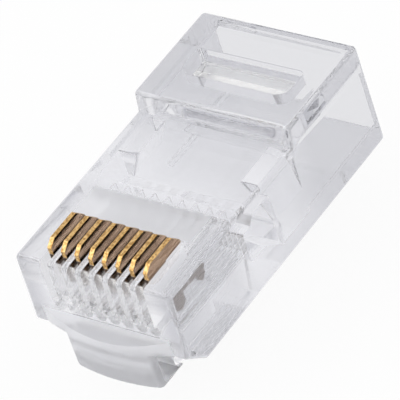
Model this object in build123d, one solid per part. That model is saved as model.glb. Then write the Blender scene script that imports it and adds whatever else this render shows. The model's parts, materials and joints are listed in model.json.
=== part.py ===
"""RJ45 modular plug: a clear moulded housing with eight blade contacts, a latch and a cable grip.

Everything is drawn from the nose: X across the plug, Y from the nose to the cable end,
Z up from the housing's flat underside to the contact side. The finished solids are then
set down so that the origin lies under the middle of the plug, on the surface it rests on.
"""

import os
from math import cos, radians, sin, sqrt

from build123d import *

# Housing outside: a low nose that enters the jack, and a raised cable end behind a step
WIDTH = 11.68
STEP_FROM_NOSE = 13.8
REAR_LENGTH = 7.9
NOSE_HEIGHT = 6.25
REAR_RISE = 1.4
STEP_LEAN = 0.25
NOSE_LEAN = 0.2
BEVEL_BACK = 1.5
BEVEL_UP = 1.3
EDGE_ROUND = 0.35

# Bowed lip across the foot of the nose, and the chin that carries the latch
LIP_REACH = 0.8
LIP_SIDE_MARGIN = 1.1
BOW_SIDE_MARGIN = 1.04
LIP_RISE = 1.25
LIP_FRONT_RISE = 0.45
CHIN_WIDTH = 6.55
CHIN_DROP = 1.6
CHIN_CORNER_ROUND = 0.45
CHIN_FOOT_ROUND = 0.25
CHIN_BACK = 1.75

# Contacts: thin blades on the standard pitch, standing proud until they are pressed home
CONTACT_COUNT = 8
PITCH = 1.02
BLADE_THICKNESS = 0.34
BLADE_FRONT = 1.1
CROWN_FRONT_SETBACK = 0.55
CROWN_FRONT_DROP = 0.4
CROWN_LENGTH = 2.25
CROWN_REAR_SETBACK = 0.63
CROWN_REAR_DROP = 0.67
CROWN_PROUD = 0.81
CRIMP_STROKE = 0.9
TINE_HEIGHT = 1.15
FRONT_TINE_WIDTH = 1.05
REAR_TINE_WIDTH = 0.75
REAR_TINE_SHORTER = 0.3
TINE_INSET = 0.12
TINE_POINT = 0.4

# Contact slots and wire channels in the nose
SLOT_CLEARANCE = 0.03
SLOT_END_CLEARANCE = 0.05
WIRE_WAY_WIDTH = 0.58
WIRE_WAY_DEPTH = 3.0
WIRE_WAY_BACK = 1.75
CHANNEL_HEIGHT = 2.75
CHANNEL_END_WALL = 0.7
PIERCE_DEPTH = 0.11

# Cable cavity: tall at the cable end, shouldered in the middle, low and wide where the wires fan out
WALL_SIDE = 0.85
FLOOR_THICKNESS = 0.95
ROOF_REAR = 1.8
ROOF_MID = 1.25
ROOF_FRONT = 1.8
RAMP_BEHIND_STEP = 1.1
RAMP_BEFORE_STEP = 0.4
SHEATH_CORNER_ROUND = 0.45
SHOULDER_BEFORE_STEP = 0.1
SHOULDER_RUN = 1.1
SHOULDER_DROP = 2.2
CHAMBER_WALL = 0.49
CHAMBER_FRONT = 7.6
CHAMBER_LENGTH = 3.1
CHAMBER_FLOOR_STEP = 0.06
FLOOR_RAMP_RUN = 1.6
CEILING_STEP_SETBACK = 1.3
CEILING_STEP_RUN = 0.5
CAVITY_ROUND = 0.2
COMB_LENGTH = 0.7
COMB_THICKNESS = 0.14
MOUTH_FLARE = 0.3

# Cable grip: a bar in a round-ended window that is pressed down on the cable sheath
WINDOW_WIDTH = 8.0
WINDOW_FROM_STEP = 2.4
WINDOW_LENGTH = 2.4
WINDOW_FRONT_ROUND = 0.9
WINDOW_REAR_ROUND = 0.35
GRIP_CLEARANCE = 0.22
GRIP_END_CLEARANCE = 0.3
GRIP_HINGE_RADIUS = 0.3
GRIP_HINGE_CLEARANCE = 0.05
GRIP_SUNK = 0.85
GRIP_TOE_DEPTH = 1.25
GRIP_TOE_SETBACK = 0.45
GRIP_BACK_DEPTH = 0.65

# Latch lever on its bend behind the chin
LATCH_HINGE_HEIGHT = -0.82
LATCH_HINGE_RADIUS = 0.58
LATCH_HINGE_CLEARANCE = 0.05
LATCH_THICKNESS = 1.05
LATCH_ANGLE = 9.0
LATCH_LENGTH = 13.0
LATCH_SIDE_SETBACK = 0.175
LATCH_SHOULDER = 6.7
LATCH_TAIL_WIDTH = 3.25
LATCH_TAIL_ROUND = 0.5
LATCH_NECK_TAPER = 0.35
LATCH_EDGE_ROUND = 0.15

# Room that cutters take beyond the solid, a small run past a face, and how near counts as on a line
SPARE = 1.0
OVERRUN = 0.1
NEAR = 0.01


def side_prism(points, across, rounding=0.0):
    """A solid drawn as a side view, nose to the left, and as wide as stated about the middle."""
    view = Polygon(*points, align=None)
    if rounding:
        view = fillet(view.vertices(), rounding)
    return extrude(Plane.YZ * view, amount=across / 2, both=True)


def plan_prism(face, low, high):
    """A solid drawn as a plan and raised between two levels."""
    return extrude(Plane.XY.offset(low) * face, amount=high - low)


def cross_pin(radius, across, y, z):
    """A cylinder lying across the plug."""
    return Pos(0, y, z) * Rot(0, 90, 0) * Cylinder(radius, across)


def block(x_size, y_low, y_high, z_low, z_high, x_middle=0.0):
    """A box between stated levels, centred on one line across the plug."""
    middle = Pos(x_middle, (y_low + y_high) / 2, (z_low + z_high) / 2)
    return middle * Box(x_size, y_high - y_low, z_high - z_low)


# Places that follow from the sizes
LENGTH = STEP_FROM_NOSE + REAR_LENGTH
REAR_HEIGHT = NOSE_HEIGHT + REAR_RISE
BLADE_REAR = BLADE_FRONT + CROWN_FRONT_SETBACK + CROWN_LENGTH + CROWN_REAR_SETBACK
CROWN_LEVEL = NOSE_HEIGHT + CROWN_PROUD
CRIMPED_TIP_LEVEL = CHANNEL_HEIGHT - PIERCE_DEPTH
TIP_LEVEL = CRIMPED_TIP_LEVEL + CRIMP_STROKE
CHANNEL_RADIUS = (PITCH - COMB_THICKNESS) / 2
CONTACT_PLACES = [PITCH * (n - (CONTACT_COUNT - 1) / 2) for n in range(CONTACT_COUNT)]
COMB_PLACES = [PITCH * (n - CONTACT_COUNT / 2) for n in range(CONTACT_COUNT + 1)]
CAVITY_WIDTH = WIDTH - 2 * WALL_SIDE
CHAMBER_WIDTH = WIDTH - 2 * CHAMBER_WALL
CHAMBER_REAR = CHAMBER_FRONT + CHAMBER_LENGTH
CHAMBER_FLOOR = CHANNEL_HEIGHT - CHANNEL_RADIUS - CHAMBER_FLOOR_STEP
CEILING_REAR = REAR_HEIGHT - ROOF_REAR
CEILING_MID = NOSE_HEIGHT - ROOF_MID
CEILING_FRONT = NOSE_HEIGHT - ROOF_FRONT
CEILING_STEP = CHAMBER_FRONT + CEILING_STEP_SETBACK
SHOULDER_REAR = STEP_FROM_NOSE - SHOULDER_BEFORE_STEP
WINDOW_FRONT = STEP_FROM_NOSE + WINDOW_FROM_STEP
WINDOW_BACK = WINDOW_FRONT + WINDOW_LENGTH
GRIP_TOP = REAR_HEIGHT - GRIP_SUNK
GRIP_HINGE_Y = WINDOW_FRONT + GRIP_HINGE_CLEARANCE + GRIP_HINGE_RADIUS
GRIP_HINGE_Z = GRIP_TOP - GRIP_HINGE_RADIUS
LATCH_ROOT_WIDTH = CHIN_WIDTH - 2 * LATCH_SIDE_SETBACK
LATCH_HINGE_Y = CHIN_BACK
LATCH_LOW = (
    LATCH_HINGE_HEIGHT
    - (LATCH_LENGTH - LATCH_EDGE_ROUND) * sin(radians(LATCH_ANGLE))
    - (LATCH_THICKNESS / 2 - LATCH_EDGE_ROUND) * cos(radians(LATCH_ANGLE))
    - LATCH_EDGE_ROUND
)


def bow(half_width):
    """How far forward of the nose the bowed lip stands at a distance from the middle."""
    half_bow = WIDTH / 2 - BOW_SIDE_MARGIN
    radius = (half_bow**2 + LIP_REACH**2) / (2 * LIP_REACH)
    return LIP_REACH - radius + sqrt(radius**2 - half_width**2)


def bowed_face(half_width, back):
    """A plan with the bowed front and straight sides."""
    reach = bow(half_width)
    front = ThreePointArc((-half_width, -reach), (0, -LIP_REACH), (half_width, -reach))
    sides = Polyline((half_width, -reach), (half_width, back), (-half_width, back), (-half_width, -reach))
    return make_face(front + sides)


def outer_body():
    """The block of the housing: level underside, bevelled foot, low nose and raised cable end."""
    outline = [
        (0, BEVEL_UP),
        (BEVEL_BACK, 0),
        (LENGTH, 0),
        (LENGTH, REAR_HEIGHT),
        (STEP_FROM_NOSE, REAR_HEIGHT),
        (STEP_FROM_NOSE - STEP_LEAN, NOSE_HEIGHT),
        (NOSE_LEAN, NOSE_HEIGHT),
    ]
    body = side_prism(outline, WIDTH)
    along = body.faces().filter_by(Axis.X).edges()
    across = body.edges().filter_by(Axis.X)
    top_rear = across.sort_by(Axis.Y)[-2:]
    step_edge = across.filter_by_position(Axis.Y, STEP_FROM_NOSE - NEAR, STEP_FROM_NOSE + NEAR)
    nose_top = across.filter_by_position(Axis.Z, NOSE_HEIGHT - NEAR, NOSE_HEIGHT + NEAR)
    nose_edge = nose_top.sort_by(Axis.Y)[:1]
    return fillet(along + top_rear + step_edge + nose_edge, EDGE_ROUND)


def nose_lip():
    """The bowed lip with a sloping top that spreads the chin's root across the nose."""
    half_lip = WIDTH / 2 - LIP_SIDE_MARGIN
    raw = plan_prism(bowed_face(half_lip, BEVEL_BACK), BEVEL_UP, BEVEL_UP + LIP_RISE)
    under_slope = [
        (BEVEL_BACK, BEVEL_UP),
        (BEVEL_BACK, BEVEL_UP + LIP_RISE),
        (0, BEVEL_UP + LIP_RISE),
        (-LIP_REACH, BEVEL_UP + LIP_FRONT_RISE),
        (-LIP_REACH, BEVEL_UP),
    ]
    return raw & side_prism(under_slope, WIDTH)


def chin():
    """The block under the nose that the latch bends from."""
    block_down = plan_prism(bowed_face(CHIN_WIDTH / 2, CHIN_BACK), -CHIN_DROP, BEVEL_UP)
    corners = block_down.edges().filter_by(Axis.Z).sort_by(Axis.Y)[:2]
    block_down = fillet(corners, CHIN_CORNER_ROUND)
    foot = block_down.faces().sort_by(Axis.Z)[0].edges().sort_by(Axis.Y)[:-1]
    return fillet(foot, CHIN_FOOT_ROUND)


def cable_cavity():
    """The space for the cable sheath and the fanned wires, open at the cable end."""
    side = [
        (CHAMBER_FRONT, CHAMBER_FLOOR),
        (CHAMBER_REAR - FLOOR_RAMP_RUN, CHAMBER_FLOOR),
        (CHAMBER_REAR, FLOOR_THICKNESS),
        (LENGTH + SPARE, FLOOR_THICKNESS),
        (LENGTH + SPARE, CEILING_REAR),
        (STEP_FROM_NOSE + RAMP_BEHIND_STEP, CEILING_REAR),
        (STEP_FROM_NOSE - RAMP_BEFORE_STEP, CEILING_MID),
        (CEILING_STEP, CEILING_MID),
        (CEILING_STEP - CEILING_STEP_RUN, CEILING_FRONT),
        (CHAMBER_FRONT, CEILING_FRONT),
    ]
    tall = side_prism(side, WIDTH, CAVITY_ROUND)
    sheath_space = tall & sheath_section()
    shoulder_space = tall & shoulder_section()
    fan_space = tall & block(CHAMBER_WIDTH, CHAMBER_FRONT - OVERRUN, CHAMBER_REAR, 0, NOSE_HEIGHT)
    return sheath_space + shoulder_space + fan_space - wire_comb()


def sheath_section():
    """The round-cornered opening at the cable end."""
    height = CEILING_REAR - FLOOR_THICKNESS
    opening = RectangleRounded(CAVITY_WIDTH, height, SHEATH_CORNER_ROUND)
    end_view = Plane.XZ.offset(-SHOULDER_REAR) * Pos(0, FLOOR_THICKNESS + height / 2) * opening
    return extrude(end_view, amount=-(LENGTH + SPARE - SHOULDER_REAR))


def shoulder_section():
    """The middle of the cavity, with sloping shoulders that gather the wires."""
    half = CAVITY_WIDTH / 2
    half_top = half - SHOULDER_RUN
    section = [
        (-half, 0),
        (half, 0),
        (half, CEILING_MID - SHOULDER_DROP),
        (half_top, CEILING_MID),
        (half_top, CEILING_REAR),
        (-half_top, CEILING_REAR),
        (-half_top, CEILING_MID),
        (-half, CEILING_MID - SHOULDER_DROP),
    ]
    end_view = Plane.XZ.offset(OVERRUN - CHAMBER_REAR) * Polygon(*section, align=None)
    return extrude(end_view, amount=-(SHOULDER_REAR - CHAMBER_REAR + 2 * OVERRUN))


def wire_comb():
    """The short fins that part the wires in front of their channels."""
    y_high = CHAMBER_FRONT + COMB_LENGTH
    fins = [block(COMB_THICKNESS, CHAMBER_FRONT, y_high, 0, NOSE_HEIGHT, x) for x in COMB_PLACES]
    return Part() + fins


def wire_channel(x):
    """A round blind channel for one wire."""
    run = CHAMBER_FRONT + OVERRUN - CHANNEL_END_WALL
    middle = Pos(x, CHANNEL_END_WALL + run / 2, CHANNEL_HEIGHT)
    return middle * Rot(90, 0, 0) * Cylinder(CHANNEL_RADIUS, run)


def contact_slot(x):
    """The slot for one blade, with a wider way in front for the mating spring wire."""
    blade = block(
        BLADE_THICKNESS + 2 * SLOT_CLEARANCE,
        BLADE_FRONT - SLOT_END_CLEARANCE,
        BLADE_REAR + SLOT_END_CLEARANCE,
        CRIMPED_TIP_LEVEL - SLOT_END_CLEARANCE,
        NOSE_HEIGHT + SPARE,
        x,
    )
    wire_way = block(
        WIRE_WAY_WIDTH,
        -LIP_REACH - SPARE,
        BLADE_FRONT + WIRE_WAY_BACK,
        NOSE_HEIGHT - WIRE_WAY_DEPTH,
        NOSE_HEIGHT + SPARE,
        x,
    )
    return blade + wire_way


def window_plan(across, y_low, y_high):
    """A plan with straight sides, widely rounded in front and closely rounded behind."""
    plan = Pos(0, (y_low + y_high) / 2) * Rectangle(across, y_high - y_low)
    plan = fillet(plan.vertices().sort_by(Axis.Y)[:2], WINDOW_FRONT_ROUND)
    return fillet(plan.vertices().sort_by(Axis.Y)[-2:], WINDOW_REAR_ROUND)


def grip_window():
    """The window through the roof that the cable grip works in."""
    plan = window_plan(WINDOW_WIDTH, WINDOW_FRONT, WINDOW_BACK)
    return plan_prism(plan, CEILING_REAR - SPARE, REAR_HEIGHT + SPARE)


def latch_socket():
    """The hollow behind the chin that the latch's bend turns in."""
    radius = LATCH_HINGE_RADIUS + LATCH_HINGE_CLEARANCE
    return cross_pin(radius, CHIN_WIDTH + SPARE, LATCH_HINGE_Y, LATCH_HINGE_HEIGHT)


def housing():
    """The clear moulding."""
    solid = outer_body() + nose_lip() + chin()
    solid -= cable_cavity()
    solid -= [wire_channel(x) for x in CONTACT_PLACES]
    solid -= [contact_slot(x) for x in CONTACT_PLACES]
    solid -= grip_window()
    solid -= latch_socket()
    mouth = solid.faces().filter_by(Axis.Y).sort_by(Axis.Y)[-1].inner_wires()[0].edges()
    return chamfer(mouth, MOUTH_FLARE)


def contact(x):
    """A blade contact: flat crown above, two insulation-piercing tines below."""
    front = BLADE_FRONT
    rear = BLADE_REAR
    tine_top = TIP_LEVEL + TINE_HEIGHT
    tine_root = tine_top - TINE_INSET
    rear_tip = TIP_LEVEL + REAR_TINE_SHORTER
    front_tine = front + TINE_INSET
    rear_tine = rear - TINE_INSET
    outline = [
        (front, CROWN_LEVEL - CROWN_FRONT_DROP),
        (front, tine_top),
        (front_tine, tine_root),
        (front_tine, TIP_LEVEL + TINE_POINT),
        (front_tine + FRONT_TINE_WIDTH / 2, TIP_LEVEL),
        (front_tine + FRONT_TINE_WIDTH, TIP_LEVEL + TINE_POINT),
        (front_tine + FRONT_TINE_WIDTH, tine_root),
        (rear_tine - REAR_TINE_WIDTH, tine_root),
        (rear_tine - REAR_TINE_WIDTH, rear_tip + TINE_POINT),
        (rear_tine - REAR_TINE_WIDTH / 2, rear_tip),
        (rear_tine, rear_tip + TINE_POINT),
        (rear_tine, tine_root),
        (rear, tine_top),
        (rear, CROWN_LEVEL - CROWN_REAR_DROP),
        (rear - CROWN_REAR_SETBACK, CROWN_LEVEL),
        (front + CROWN_FRONT_SETBACK, CROWN_LEVEL),
    ]
    return Pos(x, 0, 0) * side_prism(outline, BLADE_THICKNESS)


def cable_grip():
    """The bar that is turned down about its front edge to bite on the cable sheath."""
    back = WINDOW_BACK - GRIP_CLEARANCE
    outline = [
        (GRIP_HINGE_Y, GRIP_TOP),
        (GRIP_HINGE_Y, GRIP_HINGE_Z - GRIP_HINGE_RADIUS),
        (back - GRIP_TOE_SETBACK, GRIP_TOP - GRIP_TOE_DEPTH),
        (back, GRIP_TOP - GRIP_BACK_DEPTH),
        (back, GRIP_TOP),
    ]
    bar = side_prism(outline, WINDOW_WIDTH)
    bar += cross_pin(GRIP_HINGE_RADIUS, WINDOW_WIDTH, GRIP_HINGE_Y, GRIP_HINGE_Z)
    across = WINDOW_WIDTH - 2 * GRIP_END_CLEARANCE
    plan = window_plan(across, WINDOW_FRONT + GRIP_HINGE_CLEARANCE, back)
    return bar & plan_prism(plan, GRIP_TOP - GRIP_TOE_DEPTH - SPARE, REAR_HEIGHT)


def latch():
    """The lever: a wide root with locking shoulders and a narrow thumb tail."""
    half = LATCH_THICKNESS / 2
    bar = block(LATCH_ROOT_WIDTH, 0, LATCH_LENGTH, -half, half)
    root = LATCH_ROOT_WIDTH / 2
    neck = root - LATCH_NECK_TAPER
    tail = LATCH_TAIL_WIDTH / 2
    plan = Polygon(
        (-root, -SPARE),
        (root, -SPARE),
        (neck, LATCH_SHOULDER),
        (tail, LATCH_SHOULDER),
        (tail, LATCH_LENGTH),
        (-tail, LATCH_LENGTH),
        (-tail, LATCH_SHOULDER),
        (-neck, LATCH_SHOULDER),
        align=None,
    )
    arm = bar & plan_prism(plan, -half - SPARE, half + SPARE)
    tail_edges = arm.edges().filter_by(Axis.Z).sort_by(Axis.Y)[-2:]
    arm = fillet(tail_edges, LATCH_TAIL_ROUND)
    rims = arm.faces().sort_by(Axis.Z)[0].edges() + arm.faces().sort_by(Axis.Z)[-1].edges()
    arm = fillet(rims.filter_by_position(Axis.Y, NEAR, LATCH_LENGTH + SPARE), LATCH_EDGE_ROUND)
    arm = Pos(0, LATCH_HINGE_Y, LATCH_HINGE_HEIGHT) * Rot(-LATCH_ANGLE, 0, 0) * arm
    return arm + cross_pin(LATCH_HINGE_RADIUS, LATCH_ROOT_WIDTH, LATCH_HINGE_Y, LATCH_HINGE_HEIGHT)


def main():
    """Build every piece, set it down on the origin and write it."""
    pieces = {"housing": housing(), "latch": latch(), "cable_grip": cable_grip()}
    for number, x in enumerate(CONTACT_PLACES, start=1):
        pieces[f"contact_{number}"] = contact(x)
    set_down = Pos(0, -(LENGTH - LIP_REACH) / 2, -LATCH_LOW)
    os.makedirs("parts", exist_ok=True)
    for name, piece in pieces.items():
        export_step(set_down * piece, f"parts/{name}.step")


main()
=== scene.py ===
"""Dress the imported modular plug: a clear moulding, gold-plated blades and a plain pale studio."""

import json
import math

import bmesh
import bpy
from bpy.props import FloatProperty, FloatVectorProperty, PointerProperty
from bpy.types import Operator, Panel, PropertyGroup
from mathutils import Matrix, Vector, geometry
from mathutils.bvhtree import BVHTree


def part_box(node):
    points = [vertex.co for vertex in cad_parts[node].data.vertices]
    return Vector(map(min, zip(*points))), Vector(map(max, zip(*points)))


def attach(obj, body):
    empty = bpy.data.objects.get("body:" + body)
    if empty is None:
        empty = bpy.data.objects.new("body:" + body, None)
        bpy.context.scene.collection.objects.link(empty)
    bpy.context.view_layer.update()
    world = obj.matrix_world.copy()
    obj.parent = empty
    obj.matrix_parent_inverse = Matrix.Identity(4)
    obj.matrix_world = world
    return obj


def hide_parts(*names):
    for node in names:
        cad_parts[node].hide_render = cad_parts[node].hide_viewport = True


bl_info = {
    "name": "Clear modular plug",
    "version": (1, 0, 0),
    "blender": (4, 5, 0),
    "location": "View3D > Sidebar > Plug",
    "description": "Dresses a packed modular plug in clear polycarbonate and gold-plated contacts",
    "category": "Object",
}

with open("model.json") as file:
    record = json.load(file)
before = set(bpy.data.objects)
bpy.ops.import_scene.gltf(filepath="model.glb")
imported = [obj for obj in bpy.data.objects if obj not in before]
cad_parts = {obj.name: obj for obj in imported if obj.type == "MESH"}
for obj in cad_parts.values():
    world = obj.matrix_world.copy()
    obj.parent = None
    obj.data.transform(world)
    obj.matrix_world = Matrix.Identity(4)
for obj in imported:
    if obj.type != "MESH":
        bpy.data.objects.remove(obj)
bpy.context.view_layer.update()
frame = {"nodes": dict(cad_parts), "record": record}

MM = 0.001
CONTACT_NODES = sorted(name for name in frame["nodes"] if name.startswith("contact_"))
BLADE_LOW, BLADE_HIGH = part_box(CONTACT_NODES[0])
LAST_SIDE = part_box(CONTACT_NODES[-1])[1].x

# Joining, rounding and creasing the copied triangles
MERGE_DISTANCE = 0.002 * MM
FLAT_ANGLE = math.radians(0.4)
CREASE_ANGLE = math.radians(24.0)
BEVEL_ANGLE = math.radians(38.0)
BEVEL_SEGMENTS = 2
ROUNDING_ROOM = 0.3 * MM

# Telling the housing's faces apart, by the walls that four rays from a face meet
OUTSIDE, CAVITY, CHANNELS, CHIN, EDGES = range(5)
HALF_NOSE = 3.1 * MM
FACE_CLEARANCE = 0.02 * MM
SLOT_MARGIN = 0.1 * MM
FLAT_SIDE = 0.95
WALLS_ROUND = 3

# Where the moulding's tint and gloss change, counted from the place that each one belongs to. The tint's
# changes paint shade on the flanks and the tall block and paint light over the comb.
COMB_FADE = (0.5 * MM, 1.5 * MM)
SATIN_START = (-0.05 * MM, 0.05 * MM)
SATIN_END = (-0.7 * MM, -0.3 * MM)
SATIN_DEPTH = (-0.3 * MM, -0.2 * MM)
FLANK_FADE = (-2.0 * MM, 0.0)
STEP_FADE = (-1.8 * MM, 1.4 * MM)
NOSE_FADE = (0.04 * MM, 0.1 * MM)

# Where the blades' colours change: the painted shade under the crown's edge in shares of its depth, the
# sides' by how far they turn
TOP_SHADE_FADE = (0.7, 1.3)
# Painted shade lower on the sides, where the next blade shades them, fades in over this span
LOW_SHADE_FADE = (0.0, 0.12 * MM)
PLATING_FADE = (0.0, 0.08 * MM)
OPEN_SIDE_FADE = (-0.1 * MM, -0.05 * MM)
TOE_LENGTH = (0.7 * MM, 0.9 * MM)
TOE_FADE = (0.0, 0.1 * MM)
SIDE_TURN = (0.35, 0.6)

# Grain of the finishes: scales per metre, and the spans of the noise that are used
PLAIN_DETAIL = 2.0
FINE_DETAIL = 3.0
FLOW_SCALE = 140.0
FLOW_SPAN = (0.35, 0.65)
PALER_SHARE = 0.15
RIPPLE_HEIGHT = 0.02 * MM
SPECK_SCALE = 2600.0
SPECK_SPAN = (0.55, 0.8)
CLOUD_SCALE = 6500.0
CLOUD_SPAN = (0.4, 0.62)
STROKE_SCALE = 9000.0
STROKE_STRETCH = (1.0, 0.08, 1.0)
STROKE_SPAN = (0.35, 0.65)
GLOSS_SPAN = (0.3, 0.7)
SCRATCH_STRENGTH = 0.12
SCRATCH_HEIGHT = 0.01 * MM

# Stage
WHITE = (1.0, 1.0, 1.0)
FLOOR_PALE = (0.95, 0.95, 0.95)
FLOOR_PALER = (0.97, 0.97, 0.97)
FLECK_SCALE = 40.0
FLECK_SPAN = (0.3, 0.7)
SKY_SPAN = (-1.0, 1.0)
HORIZON = 0.5
WALL_FOOT = 0.53
WALL_TOP = 0.72
CEILING_EDGE = 0.86
LIGHT_BOUNCES = 48
SENSOR_WIDTH = 36.0
NEAREST = 0.01
FARTHEST = 10.0

# A Mix node's colour sockets, which share their names with those of its other types
MIX_FACTOR, MIX_FIRST, MIX_SECOND, MIX_RESULT = 0, 6, 7, 2


class Wire:
    """A shader socket that takes part in Python expressions, each operator adding a Math node."""

    def __init__(self, tree, socket=None):
        self.tree = tree
        self.socket = socket

    def node(self, kind, settings=None, inputs=None, output=0):
        """Add any other node: its settings first, then the values or links of its sockets."""
        added = self.tree.nodes.new(kind)
        for name, value in (settings or {}).items():
            if name == "stops":
                set_stops(added.color_ramp, value)
            else:
                setattr(added, name, value)
        for name, value in (inputs or {}).items():
            if isinstance(value, Wire):
                self.tree.links.new(value.socket, added.inputs[name])
            else:
                added.inputs[name].default_value = value
        return Wire(self.tree, added.outputs[output] if added.outputs else None)

    def math(self, operation, first, second):
        """Add a Math node for an operator."""
        return self.node("ShaderNodeMath", {"operation": operation}, {0: first, 1: second})

    def __add__(self, other):
        return self.math("ADD", self, other)

    def __radd__(self, other):
        return self.math("ADD", other, self)

    def __sub__(self, other):
        return self.math("SUBTRACT", self, other)

    def __rsub__(self, other):
        return self.math("SUBTRACT", other, self)

    def __mul__(self, other):
        return self.math("MULTIPLY", self, other)

    def __rmul__(self, other):
        return self.math("MULTIPLY", other, self)


def solid_colour(colour):
    """A colour with full alpha."""
    return (*colour, 1.0)


def set_stops(ramp, stops):
    """Give a colour ramp its stops, each a position and a colour."""
    while len(ramp.elements) < len(stops):
        ramp.elements.new(1.0)
    for element, (place, colour) in zip(ramp.elements, stops):
        element.position = place
        element.color = solid_colour(colour)


def between(wire, low, high, start, end):
    """Map a value from one span to another, held at both ends."""
    spans = {"From Min": low, "From Max": high, "To Min": start, "To Max": end}
    return wire.node("ShaderNodeMapRange", {"clamp": True}, {"Value": wire, **spans})


def rising(wire, span, origin=0.0):
    """Nought before a span and one behind it, with the span counted from an origin."""
    return between(wire, origin + span[0], origin + span[1], 0.0, 1.0)


def falling(wire, span, origin=0.0):
    """One before a span and nought behind it, with the span counted from an origin."""
    return between(wire, origin + span[0], origin + span[1], 1.0, 0.0)


def blend_colours(factor, first, second):
    """Mix two colours, each a wire or three levels, by a value."""
    colours = [colour if isinstance(colour, Wire) else solid_colour(colour) for colour in (first, second)]
    inputs = {MIX_FACTOR: factor, MIX_FIRST: colours[0], MIX_SECOND: colours[1]}
    return factor.node("ShaderNodeMix", {"data_type": "RGBA"}, inputs, MIX_RESULT)


def coordinate(place, axis):
    """One coordinate of a place or a direction."""
    return place.node("ShaderNodeSeparateXYZ", inputs={0: place}, output=axis)


def magnitude(wire):
    """A value without its sign."""
    return wire.node("ShaderNodeMath", {"operation": "ABSOLUTE"}, {0: wire})


def noise(place, scale, detail=PLAIN_DETAIL):
    """A noise value at a place, with its scale counted per metre."""
    return place.node("ShaderNodeTexNoise", inputs={"Vector": place, "Scale": scale, "Detail": detail})


def bump(height, strength, distance):
    """A normal that follows a height."""
    inputs = {"Strength": strength, "Distance": distance, "Height": height}
    return height.node("ShaderNodeBump", inputs=inputs)


def new_surface(name):
    """A material with a bare principled shader; returns it, its shader and a first wire."""
    material = bpy.data.materials.new(name)
    material.use_nodes = True
    shader = material.node_tree.nodes["Principled BSDF"]
    return material, shader, Wire(material.node_tree)


def plug_in(wire, shader, socket):
    """Feed a value that varies over the surface to one of the shader's sockets."""
    wire.tree.links.new(wire.socket, shader.inputs[socket])


def mount_place(name):
    """Where the record puts a mount."""
    for mount in frame["record"]["mounts"]:
        if mount["name"] == name:
            return Vector(mount["pos_m"])
    raise ValueError(f"the record has no mount {name}")


def comb_span(place):
    """One over the width of the contact comb, nought beside it."""
    return falling(magnitude(coordinate(place, "X")), COMB_FADE, LAST_SIDE)


def satin_mask(place):
    """One on the top behind the blades, which the mould leaves satin."""
    along = coordinate(place, "Y")
    top = mount_place("jack_interface").z + HALF_NOSE
    begins = rising(along, SATIN_START, BLADE_HIGH.y)
    ends = falling(along, SATIN_END, mount_place("wire_channels").y)
    above = rising(coordinate(place, "Z"), SATIN_DEPTH, top)
    return begins * ends * above * comb_span(place)


def outside_haze(finish, place):
    """Extra roughness of the nose's front and of the satin top behind the blades."""
    nose_face = falling(coordinate(place, "Y"), NOSE_FADE, mount_place("jack_interface").y)
    return nose_face * finish.nose_haze + satin_mask(place) * finish.satin


def outside_tint(finish, place, flow):
    """Grey over the wire chamber, with painted shade as a deeper tint on the flanks and the tall block,
    and painted light as a clearer tint over the comb.
    """
    along = coordinate(place, "Y")
    step = mount_place("jack_interface").y + finish.step_place
    denser = [level * finish.tint_depth for level in finish.tint]
    middle = blend_colours(rising(flow, FLOW_SPAN), finish.tint, denser)
    # Painted shade on the flanks and behind the step, painted light over the comb
    flank_mix = falling(along, FLANK_FADE, mount_place("wire_channels").y)
    fore = blend_colours(flank_mix, middle, finish.flank_shade_tint)
    back = blend_colours(rising(along, STEP_FADE, step), fore, finish.rear_shade_tint)
    return blend_colours(flank_mix * comb_span(place), back, finish.comb_light_tint)


def even_tint(tint, flow):
    """One tint, a little paler where the flow is thinner."""
    paler = [level + (1.0 - level) * PALER_SHARE for level in tint]
    return blend_colours(rising(flow, FLOW_SPAN), tint, paler)


def clear_plastic(name, finish, roughness, clearness, tint=None):
    """Clear plastic with a slight flow ripple and haze; without a tint it is the outside's own."""
    material, shader, start = new_surface(name)
    shader.inputs["Transmission Weight"].default_value = clearness
    shader.inputs["IOR"].default_value = finish.refraction
    place = start.node("ShaderNodeTexCoord", output="Object")
    flow = noise(place, FLOW_SCALE, FINE_DETAIL)
    specks = noise(place, SPECK_SCALE)
    rough = rising(specks, SPECK_SPAN) * finish.haze + roughness
    if tint is None:
        colour = outside_tint(finish, place, flow)
        rough = rough + outside_haze(finish, place)
    else:
        colour = even_tint(tint, flow)
    plug_in(colour, shader, "Base Color")
    plug_in(rough, shader, "Roughness")
    plug_in(bump(flow, finish.ripple, RIPPLE_HEIGHT), shader, "Normal")
    return material


def housing_finishes(finish):
    """The housing's finishes, in the order of their face numbers."""
    core = finish.core_tint
    chin = finish.chin_tint
    return [
        clear_plastic("clear_outside", finish, finish.polish, 1.0),
        clear_plastic("clear_cavity", finish, finish.cavity, 1.0, core),
        clear_plastic("hazy_channels", finish, finish.channels, finish.channels_clearness, core),
        clear_plastic("satin_chin", finish, finish.satin, finish.chin_clearness, chin),
        clear_plastic("hazy_edges", finish, finish.satin, finish.edge_clearness, chin),
    ]


def sheared_sides_and_shade(finish, strokes, painted_shade_mask):
    """Taupe sides with fine scores, with painted shade in a strip under the crown's edge and near the
    foot.
    """
    taupe = blend_colours(rising(strokes, STROKE_SPAN), finish.taupe, finish.taupe_deep)
    return blend_colours(painted_shade_mask, taupe, finish.painted_shade)


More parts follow.
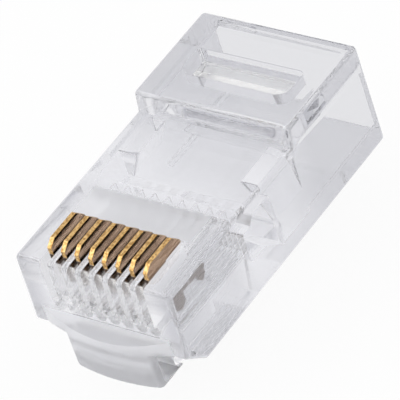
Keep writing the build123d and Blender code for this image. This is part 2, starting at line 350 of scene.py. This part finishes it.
def blade_colour(finish, place, strokes):
    """Gold crown, taupe sides with painted shade under the crown's edge and near the foot, and bare metal
    below with painted shadow at the front end.
    """
    below = BLADE_HIGH.z - coordinate(place, "Z")
    open_mask = rising(coordinate(place, "X"), OPEN_SIDE_FADE, LAST_SIDE)
    # How much painted shade shows: less on the last blade's open side, which no neighbour shades
    shaded = 1.0 - open_mask * (1.0 - finish.open_side)
    top_shade_mask = falling(below, [share * finish.top_shade_depth for share in TOP_SHADE_FADE])
    low_shade_mask = rising(below, LOW_SHADE_FADE, finish.bright_depth)
    # Painted shade from the neighbouring blade: a dark strip under the crown's edge and another near the
    # foot
    painted_shade_mask = top_shade_mask.math("MAXIMUM", top_shade_mask, low_shade_mask) * shaded
    cloud = noise(place, CLOUD_SCALE, FINE_DETAIL)
    gold = blend_colours(rising(cloud, CLOUD_SPAN), finish.gold, finish.gold_deep)
    facing = place.node("ShaderNodeNewGeometry", output="Normal")
    side_mask = rising(magnitude(coordinate(facing, "X")), SIDE_TURN)
    plated = blend_colours(side_mask, gold, sheared_sides_and_shade(finish, strokes, painted_shade_mask))
    bare_mask = rising(below, PLATING_FADE, finish.plated_depth)
    # Bare nickel between the blades is painted near white to lighten the comb, which the blades darken;
    # bronze shows on the last blade's open side
    bare = blend_colours(open_mask, finish.nickel_lightened, finish.bronze)
    blade = blend_colours(bare_mask, plated, bare)
    # Painted shadow on the front end, where the blade sinks into its slot, less on the open side
    toe_mask = falling(coordinate(place, "Y"), TOE_LENGTH, BLADE_LOW.y)
    toe_end = falling(below, TOE_FADE, finish.toe_depth)
    return blend_colours(bare_mask * toe_mask * toe_end * shaded, blade, finish.painted_shade)


def gold_plating(finish):
    """Stamped and plated blades with fine strokes along them."""
    material, shader, start = new_surface("gold_plated_blade")
    shader.inputs["Metallic"].default_value = 1.0
    place = start.node("ShaderNodeTexCoord", output="Object")
    stretched = start.node("ShaderNodeMapping", inputs={"Vector": place, "Scale": STROKE_STRETCH})
    strokes = noise(stretched, STROKE_SCALE)
    plug_in(blade_colour(finish, place, strokes), shader, "Base Color")
    plug_in(between(strokes, *GLOSS_SPAN, finish.smooth, finish.rough), shader, "Roughness")
    plug_in(bump(strokes, SCRATCH_STRENGTH, SCRATCH_HEIGHT), shader, "Normal")
    return material


def seen_directly(start):
    """One where the ray comes from the camera, a reflection or a refraction."""
    camera = start.node("ShaderNodeLightPath", output="Is Camera Ray")
    glossy = start.node("ShaderNodeLightPath", output="Is Glossy Ray")
    through = start.node("ShaderNodeLightPath", output="Is Transmission Ray")
    seen = camera.math("MAXIMUM", camera, glossy)
    return seen.math("MAXIMUM", seen, through)


def pale_floor(studio):
    """A white table top that still takes the object's shadow."""
    material = bpy.data.materials.new("pale_floor")
    material.use_nodes = True
    tree = material.node_tree
    tree.nodes.clear()
    start = Wire(tree)
    place = start.node("ShaderNodeTexCoord", output="Object")
    fleck = noise(place, FLECK_SCALE)
    colour = blend_colours(rising(fleck, FLECK_SPAN), FLOOR_PALE, FLOOR_PALER)
    matt = start.node("ShaderNodeBsdfDiffuse", inputs={"Color": colour})
    white = start.node("ShaderNodeEmission", inputs={"Color": solid_colour(WHITE), "Strength": 1.0})
    share = seen_directly(start) * studio.floor_white
    surface = start.node("ShaderNodeMixShader", inputs={0: share, 1: matt, 2: white})
    start.node("ShaderNodeOutputMaterial", inputs={"Surface": surface})
    return material


def paint_world(studio):
    """White up to the horizon, a grey room above it and a pale ceiling overhead."""
    world = bpy.data.worlds.new("studio")
    bpy.context.scene.world = world
    world.use_nodes = True
    tree = world.node_tree
    tree.nodes.clear()
    start = Wire(tree)
    way = start.node("ShaderNodeTexCoord", output="Generated")
    level = rising(coordinate(way, "Z"), SKY_SPAN)
    stops = [
        (0.0, WHITE),
        (HORIZON, WHITE),
        (WALL_FOOT, studio.room),
        (WALL_TOP, studio.room),
        (CEILING_EDGE, studio.ceiling),
    ]
    seen = start.node("ShaderNodeValToRGB", {"stops": stops}, {"Fac": level})
    soft = (studio.fill, studio.fill, studio.fill)
    colour = blend_colours(seen_directly(start), soft, seen)
    light = start.node("ShaderNodeBackground", inputs={"Color": colour, "Strength": 1.0})
    start.node("ShaderNodeOutputWorld", inputs={"Surface": light})


def merged_copy(node):
    """A joined copy of a CAD node's triangles as a bmesh, with its flat faces made whole."""
    form = bmesh.new()
    form.from_mesh(frame["nodes"][node].data)
    bmesh.ops.remove_doubles(form, verts=form.verts, dist=MERGE_DISTANCE)
    bmesh.ops.dissolve_limit(form, angle_limit=FLAT_ANGLE, verts=form.verts, edges=form.edges)
    return form


def inner_spots(form):
    """A point surely on each face: the middle of its largest triangle."""
    spots = {}
    for corners in form.calc_loop_triangles():
        points = [corner.vert.co for corner in corners]
        area = geometry.area_tri(*points)
        face = corners[0].face
        if face not in spots or area > spots[face][0]:
            spots[face] = (area, sum(points, Vector()) / 3)
    return {face: spot for face, (area, spot) in spots.items()}


def sort_faces(form, channel_front):
    """Give the cavity, the channels and slots before it, and the chin their own finishes."""
    tree = BVHTree.FromBMesh(form)
    nose = mount_place("jack_interface")
    chin_level = nose.z - HALF_NOSE - FACE_CLEARANCE
    chin_front = nose.y - FACE_CLEARANCE
    slot_end = BLADE_HIGH.y + SLOT_MARGIN
    up = Vector((0, 0, 1))
    right = Vector((1, 0, 0))
    for face, spot in inner_spots(form).items():
        clear_of_face = spot + face.normal * FACE_CLEARANCE
        met = [tree.ray_cast(clear_of_face, way)[0] is not None for way in (up, -up, right, -right)]
        enclosed = sum(met) >= WALLS_ROUND
        roofed = met[0]
        flat_side = abs(face.normal.x) > FLAT_SIDE and spot.y < slot_end
        if enclosed and spot.y < channel_front and not flat_side:
            face.material_index = CHANNELS
        elif enclosed and (roofed or flat_side):
            face.material_index = CAVITY
        elif spot.z < chin_level or spot.y < chin_front:
            face.material_index = CHIN
        else:
            face.material_index = OUTSIDE


def sharp_edges(form, wanted=None):
    """The edges that turn sharply, or only those of them that the test wants."""
    found = []
    for edge in form.edges:
        if len(edge.link_faces) == 2 and edge.calc_face_angle(0.0) > BEVEL_ANGLE:
            if wanted is None or wanted(edge):
                found.append(edge)
    return found


def roomy_cavity_edge(edge):
    """True for an edge between two faces of the cavity whose neighbours leave room to round it."""
    near = [other for corner in edge.verts for other in corner.link_edges]
    roomy = min(other.calc_length() for other in near) > ROUNDING_ROOM
    return roomy and all(face.material_index == CAVITY for face in edge.link_faces)


def soften(form, edges, width):
    """Round the given edges by a small radius and return the new faces."""
    rounded = bmesh.ops.bevel(
        form,
        geom=edges,
        offset=width,
        offset_type="OFFSET",
        affect="EDGES",
        segments=BEVEL_SEGMENTS,
        profile=0.5,
        material=-1,
        clamp_overlap=True,
    )
    return rounded["faces"]


def place_piece(form, name, node, materials):
    """Turn a bmesh into a finished piece that stands for a CAD node and rides on its own body."""
    for edge in form.edges:
        edge.smooth = edge.calc_face_angle(0.0) < CREASE_ANGLE
    for face in form.faces:
        face.smooth = True
    mesh = bpy.data.meshes.new(name)
    form.to_mesh(mesh)
    form.free()
    for material in materials:
        mesh.materials.append(material)
    piece = bpy.data.objects.new(name, mesh)
    bpy.context.scene.collection.objects.link(piece)
    level = piece.modifiers.new("level faces", "WEIGHTED_NORMAL")
    level.keep_sharp = True
    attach(piece, node)
    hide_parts(node)


class ClearFinish(PropertyGroup):
    """Look of the clear moulding."""

    tint: FloatVectorProperty(
        name="Tint",
        description="Colour of light through the wire chamber's outside",
        subtype="COLOR",
        default=(0.83, 0.832, 0.866),
        min=0.0,
        max=1.0,
    )
    core_tint: FloatVectorProperty(
        name="Core tint",
        description="Colour of light through the cavity, the latch and the cable grip",
        subtype="COLOR",
        default=(0.985, 0.985, 0.99),
        min=0.0,
        max=1.0,
    )
    # Deeper tint painted as shade on the nose's flanks
    flank_shade_tint: FloatVectorProperty(
        name="Flank tint",
        description="Colour of light through the nose beside the comb",
        subtype="COLOR",
        default=(0.60, 0.603, 0.64),
        min=0.0,
        max=1.0,
    )
    # Deeper tint painted as shade on the tall block
    rear_shade_tint: FloatVectorProperty(
        name="Rear tint",
        description="Colour of light through the tall block's outside",
        subtype="COLOR",
        default=(0.61, 0.613, 0.65),
        min=0.0,
        max=1.0,
    )
    chin_tint: FloatVectorProperty(
        name="Chin tint",
        description="Colour of the satin chin, the lip and the cavity's rounded edges",
        subtype="COLOR",
        default=(0.87, 0.873, 0.91),
        min=0.0,
        max=1.0,
    )
    # Clearer tint painted as light over the comb
    comb_light_tint: FloatVectorProperty(
        name="Comb tint",
        description="Colour of light through the nose over the comb",
        subtype="COLOR",
        default=(0.89, 0.892, 0.915),
        min=0.0,
        max=1.0,
    )
    step_place: FloatProperty(
        name="Step",
        description="Nose face to the tall block",
        unit="LENGTH",
        default=13.8 * MM,
        min=0.0,
    )
    chin_clearness: FloatProperty(
        name="Chin clearness",
        description="Share of light that passes the chin",
        subtype="FACTOR",
        default=0.8,
        min=0.0,
        max=1.0,
    )
    edge_clearness: FloatProperty(
        name="Edge clearness",
        description="Share of light that passes the cavity's rounded edges",
        subtype="FACTOR",
        default=0.8,
        min=0.0,
        max=1.0,
    )
    nose_haze: FloatProperty(
        name="Nose haze",
        description="Extra roughness of the nose's front",
        subtype="FACTOR",
        default=0.12,
        min=0.0,
        max=1.0,
    )
    tint_depth: FloatProperty(
        name="Tint depth",
        description="Share of the tint left where the flow is denser",
        subtype="FACTOR",
        default=0.985,
        min=0.0,
        max=1.0,
    )
    refraction: FloatProperty(
        name="Refraction",
        description="Index of refraction of polycarbonate",
        default=1.585,
        min=1.0,
        max=2.0,
    )
    polish: FloatProperty(
        name="Polish",
        description="Roughness of the outside",
        subtype="FACTOR",
        default=0.04,
        min=0.0,
        max=1.0,
    )
    cavity: FloatProperty(
        name="Cavity",
        description="Roughness of the cavity's walls and the latch",
        subtype="FACTOR",
        default=0.05,
        min=0.0,
        max=1.0,
    )
    channels: FloatProperty(
        name="Channels",
        description="Roughness of the channels and slots",
        subtype="FACTOR",
        default=0.12,
        min=0.0,
        max=1.0,
    )
    channels_clearness: FloatProperty(
        name="Channels clearness",
        description="Share of light that passes the channels' walls",
        subtype="FACTOR",
        default=0.95,
        min=0.0,
        max=1.0,
    )
    satin: FloatProperty(
        name="Satin",
        description="Roughness of the chin and the cavity's edges, and extra on the top behind the blades",
        subtype="FACTOR",
        default=0.28,
        min=0.0,
        max=1.0,
    )
    grip: FloatProperty(
        name="Grip",
        description="Roughness of the cable grip",
        subtype="FACTOR",
        default=0.14,
        min=0.0,
        max=1.0,
    )
    grip_clearness: FloatProperty(
        name="Grip clearness",
        description="Share of light that passes the grip",
        subtype="FACTOR",
        default=0.95,
        min=0.0,
        max=1.0,
    )
    haze: FloatProperty(
        name="Haze",
        description="Extra roughness in fine specks",
        subtype="FACTOR",
        default=0.08,
        min=0.0,
        max=1.0,
    )
    ripple: FloatProperty(
        name="Ripple",
        description="Strength of the flow ripple",
        subtype="FACTOR",
        default=0.12,
        min=0.0,
        max=1.0,
    )
    edge_round: FloatProperty(
        name="Edge rounding",
        description="Most that an edge of the cavity or the grip is rounded",
        unit="LENGTH",
        default=0.13 * MM,
        min=0.0,
    )


class ContactFinish(PropertyGroup):
    """Look of the blade contacts."""

    gold: FloatVectorProperty(
        name="Gold",
        description="Plated crown",
        subtype="COLOR",
        default=(0.80, 0.53, 0.23),
        min=0.0,
        max=1.0,
    )
    gold_deep: FloatVectorProperty(
        name="Deep gold",
        description="Thinner plating",
        subtype="COLOR",
        default=(0.42, 0.235, 0.075),
        min=0.0,
        max=1.0,
    )
    taupe: FloatVectorProperty(
        name="Taupe",
        description="Sheared sides",
        subtype="COLOR",
        default=(0.62, 0.44, 0.31),
        min=0.0,
        max=1.0,
    )
    taupe_deep: FloatVectorProperty(
        name="Deep taupe",
        description="Scored sides",
        subtype="COLOR",
        default=(0.37, 0.24, 0.16),
        min=0.0,
        max=1.0,
    )
    # Dark colour painted as shade on the blades' side strips and front end
    painted_shade: FloatVectorProperty(
        name="Shade",
        description="Dark sheared edge and toe",
        subtype="COLOR",
        default=(0.06, 0.03, 0.012),
        min=0.0,
        max=1.0,
    )
    # Bare nickel, painted paler than it is to lighten the comb
    nickel_lightened: FloatVectorProperty(
        name="Nickel",
        description="Bare blade",
        subtype="COLOR",
        default=(0.92, 0.90, 0.88),
        min=0.0,
        max=1.0,
    )
    bronze: FloatVectorProperty(
        name="Bronze",
        description="Bare metal on the last blade's open side",
        subtype="COLOR",
        default=(0.42, 0.37, 0.34),
        min=0.0,
        max=1.0,
    )
    # Depth of the painted shade strip under the crown's edge
    top_shade_depth: FloatProperty(
        name="Burr depth",
        description="Dark strip below the crown's edge",
        unit="LENGTH",
        default=0.22 * MM,
        min=0.0,
    )
    # Where the lower strip of painted shade begins
    bright_depth: FloatProperty(
        name="Bright depth",
        description="Where the sides darken again",
        unit="LENGTH",
        default=0.62 * MM,
        min=0.0,
    )
    # Share of the painted shade kept on the last blade's open side
    open_side: FloatProperty(
        name="Open side",
        description="Share of the dark strips on the last blade's open side",
        subtype="FACTOR",
        default=0.3,
        min=0.0,
        max=1.0,
    )
    plated_depth: FloatProperty(
        name="Plated depth",
        description="How far down the gold reaches",
        unit="LENGTH",
        default=0.86 * MM,
        min=0.0,
    )
    # How far down the painted shadow on the front end reaches
    toe_depth: FloatProperty(
        name="Toe depth",
        description="How far down the dark front end reaches",
        unit="LENGTH",
        default=1.55 * MM,
        min=0.0,
    )
    smooth: FloatProperty(
        name="Smooth",
        description="Lowest roughness",
        subtype="FACTOR",
        default=0.16,
        min=0.0,
        max=1.0,
    )
    rough: FloatProperty(
        name="Rough",
        description="Highest roughness",
        subtype="FACTOR",
        default=0.32,
        min=0.0,
        max=1.0,
    )
    edge_round: FloatProperty(
        name="Edge rounding",
        description="Radius on the blade's edges",
        unit="LENGTH",
        default=0.03 * MM,
        min=0.0,
    )


class StudioSetup(PropertyGroup):
    """Camera, floor and light."""

    azimuth: FloatProperty(
        name="Azimuth",
        description="Camera's bearing round the plug",
        subtype="ANGLE",
        default=math.radians(46.805),
    )
    elevation: FloatProperty(
        name="Elevation",
        description="Camera's height above the horizon",
        subtype="ANGLE",
        default=math.radians(39.367),
    )
    roll: FloatProperty(
        name="Roll",
        description="Turn of the picture",
        subtype="ANGLE",
        default=math.radians(-19.615),
    )
    distance: FloatProperty(
        name="Distance",
        description="Camera to aim point",
        unit="LENGTH",
        default=250.414 * MM,
    )
    lens: FloatProperty(
        name="Lens",
        description="Focal length in millimetres",
        unit="CAMERA",
        default=373.144,
    )
    aim: FloatVectorProperty(
        name="Aim",
        description="Point in the middle of the picture",
        subtype="TRANSLATION",
        default=(0.1875 * MM, -0.0222 * MM, 6.6237 * MM),
    )
    floor_size: FloatProperty(
        name="Floor size",
        description="Side of the table top",
        unit="LENGTH",
        default=1.6,
    )
    floor_white: FloatProperty(
        name="Floor white",
        description="Share of plain white in the floor",
        subtype="FACTOR",
        default=0.93,
        min=0.0,
        max=1.0,
    )
    fill: FloatProperty(
        name="Fill",
        description="Level of the soft light all round",
        subtype="FACTOR",
        default=0.7,
        min=0.0,
        max=1.0,
    )
    room: FloatVectorProperty(
        name="Room",
        description="Walls of the studio",
        subtype="COLOR",
        default=(0.93, 0.93, 0.945),
        min=0.0,
        max=1.0,
    )
    ceiling: FloatVectorProperty(
        name="Ceiling",
        description="Ceiling of the studio",
        subtype="COLOR",
        default=(1.0, 1.0, 1.0),
        min=0.0,
        max=1.0,
    )
    softbox_place: FloatVectorProperty(
        name="Softbox place",
        description="Where the main lamp hangs",
        subtype="TRANSLATION",
        default=(-0.34, -0.24, 0.42),
    )
    softbox_size: FloatProperty(
        name="Softbox size",
        description="Side of the main lamp",
        unit="LENGTH",
        default=0.62,
    )
    softbox_power: FloatProperty(
        name="Softbox power",
        description="Power of the main lamp",
        unit="POWER",
        default=1.15,
    )
    panel_place: FloatVectorProperty(
        name="Panel place",
        description="Where the second lamp hangs",
        subtype="TRANSLATION",
        default=(0.34, 0.30, 0.34),
    )
    panel_size: FloatProperty(
        name="Panel size",
        description="Side of the second lamp",
        unit="LENGTH",
        default=0.42,
    )
    panel_power: FloatProperty(
        name="Panel power",
        description="Power of the second lamp",
        unit="POWER",
        default=0.4,
    )


class PLUG_OT_clear_housing(Operator):
    """Make the clear housing with its comb, cavity, lip and chin"""

    bl_idname = "plug.clear_housing"
    bl_label = "Clear housing"

    def execute(self, context):
        finish = context.scene.plug_clear
        form = merged_copy("housing")
        sort_faces(form, mount_place("wire_channels").y)
        for face in soften(form, sharp_edges(form, roomy_cavity_edge), finish.edge_round):
            face.material_index = EDGES
        place_piece(form, "clear_housing", "housing", housing_finishes(finish))
        return {"FINISHED"}


class PLUG_OT_clear_latch(Operator):
    """Make the clear latch lever"""

    bl_idname = "plug.clear_latch"
    bl_label = "Clear latch"

    def execute(self, context):
        finish = context.scene.plug_clear
        form = merged_copy("latch")
        plastic = clear_plastic("clear_lever", finish, finish.cavity, 1.0, finish.core_tint)
        place_piece(form, "clear_latch", "latch", [plastic])
        return {"FINISHED"}


class PLUG_OT_clear_grip(Operator):
    """Make the clear cable grip"""

    bl_idname = "plug.clear_grip"
    bl_label = "Clear cable grip"

    def execute(self, context):
        finish = context.scene.plug_clear
        form = merged_copy("cable_grip")
        soften(form, sharp_edges(form), finish.edge_round)
        plastic = clear_plastic("hazy_grip", finish, finish.grip, finish.grip_clearness, finish.core_tint)
        place_piece(form, "clear_grip", "cable_grip", [plastic])
        return {"FINISHED"}


class PLUG_OT_gold_contacts(Operator):
    """Make the gold-plated blade contacts"""

    bl_idname = "plug.gold_contacts"
    bl_label = "Gold contacts"

    def execute(self, context):
        finish = context.scene.plug_contacts
        materials = [gold_plating(finish)]
        for node in CONTACT_NODES:
            form = merged_copy(node)
            soften(form, sharp_edges(form), finish.edge_round)
            place_piece(form, f"gold_{node}", node, materials)
        return {"FINISHED"}


class PLUG_OT_pale_studio(Operator):
    """Set the table top, the soft light and the camera"""

    bl_idname = "plug.pale_studio"
    bl_label = "Pale studio"

    def execute(self, context):
        scene = context.scene
        studio = scene.plug_studio
        scene.view_settings.view_transform = "Standard"
        scene.cycles.max_bounces = LIGHT_BOUNCES
        scene.cycles.transmission_bounces = LIGHT_BOUNCES
        scene.cycles.glossy_bounces = LIGHT_BOUNCES
        scene.cycles.diffuse_bounces = LIGHT_BOUNCES
        paint_world(studio)
        self.lay_floor(scene, studio)
        self.hang_lamp(scene, "softbox", studio.softbox_place, studio.softbox_size, studio.softbox_power)
        self.hang_lamp(scene, "side_panel", studio.panel_place, studio.panel_size, studio.panel_power)
        self.set_camera(scene, studio)
        return {"FINISHED"}

    def lay_floor(self, scene, studio):
        """A flat table top under the latch's lowest edge."""
        form = bmesh.new()
        bmesh.ops.create_grid(form, x_segments=1, y_segments=1, size=studio.floor_size / 2)
        mesh = bpy.data.meshes.new("floor")
        form.to_mesh(mesh)
        form.free()
        mesh.materials.append(pale_floor(studio))
        floor = bpy.data.objects.new("floor", mesh)
        scene.collection.objects.link(floor)

    def hang_lamp(self, scene, name, place, size, power):
        """A square soft lamp that faces the plug and isn't seen through the plastic."""
        lamp = bpy.data.lights.new(name, "AREA")
        lamp.size = size
        lamp.energy = power
        holder = bpy.data.objects.new(name, lamp)
        scene.collection.objects.link(holder)
        holder.visible_transmission = False
        holder.location = place
        holder.rotation_euler = (-Vector(place)).to_track_quat("-Z", "Y").to_euler()

    def set_camera(self, scene, studio):
        """A long lens from the photograph's side, rolled as the plug lies there."""
        turn = Matrix.Rotation(studio.azimuth, 3, "Z")
        tilt = Matrix.Rotation(math.pi / 2 - studio.elevation, 3, "X")
        spin = Matrix.Rotation(studio.roll, 3, "Z")
        facing = turn @ tilt @ spin
        back = facing @ Vector((0.0, 0.0, 1.0))
        data = bpy.data.cameras.new("camera")
        data.sensor_width = SENSOR_WIDTH
        data.lens = studio.lens
        data.clip_start = NEAREST
        data.clip_end = FARTHEST
        camera = bpy.data.objects.new("camera", data)
        scene.collection.objects.link(camera)
        spot = Vector(studio.aim) + back * studio.distance
        camera.matrix_world = Matrix.Translation(spot) @ facing.to_4x4()
        scene.camera = camera


class PLUG_PT_sidebar(Panel):
    """Lists the plug's steps and settings in the sidebar"""

    bl_label = "Clear modular plug"
    bl_idname = "PLUG_PT_sidebar"
    bl_space_type = "VIEW_3D"
    bl_region_type = "UI"
    bl_category = "Plug"

    def draw(self, context):
        for step in STEPS:
            self.layout.operator(step.bl_idname)
        scene = context.scene
        for group in (scene.plug_clear, scene.plug_contacts, scene.plug_studio):
            settings = self.layout.box()
            for setting in type(group).__annotations__:
                settings.prop(group, setting)


STEPS = (
    PLUG_OT_clear_housing,
    PLUG_OT_clear_latch,
    PLUG_OT_clear_grip,
    PLUG_OT_gold_contacts,
    PLUG_OT_pale_studio,
)
CLASSES = (ClearFinish, ContactFinish, StudioSetup, *STEPS, PLUG_PT_sidebar)


def register():
    """Register the classes and hang the settings on the scene."""
    for entry in CLASSES:
        bpy.utils.register_class(entry)
    bpy.types.Scene.plug_clear = PointerProperty(type=ClearFinish)
    bpy.types.Scene.plug_contacts = PointerProperty(type=ContactFinish)
    bpy.types.Scene.plug_studio = PointerProperty(type=StudioSetup)


def unregister():
    """Take the settings and classes away again."""
    del bpy.types.Scene.plug_studio
    del bpy.types.Scene.plug_contacts
    del bpy.types.Scene.plug_clear
    for entry in reversed(CLASSES):
        bpy.utils.unregister_class(entry)


def main():
    """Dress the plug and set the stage."""
    register()
    bpy.ops.plug.clear_housing()
    bpy.ops.plug.clear_latch()
    bpy.ops.plug.clear_grip()
    bpy.ops.plug.gold_contacts()
    bpy.ops.plug.pale_studio()


if __name__ == "__main__":
    main()
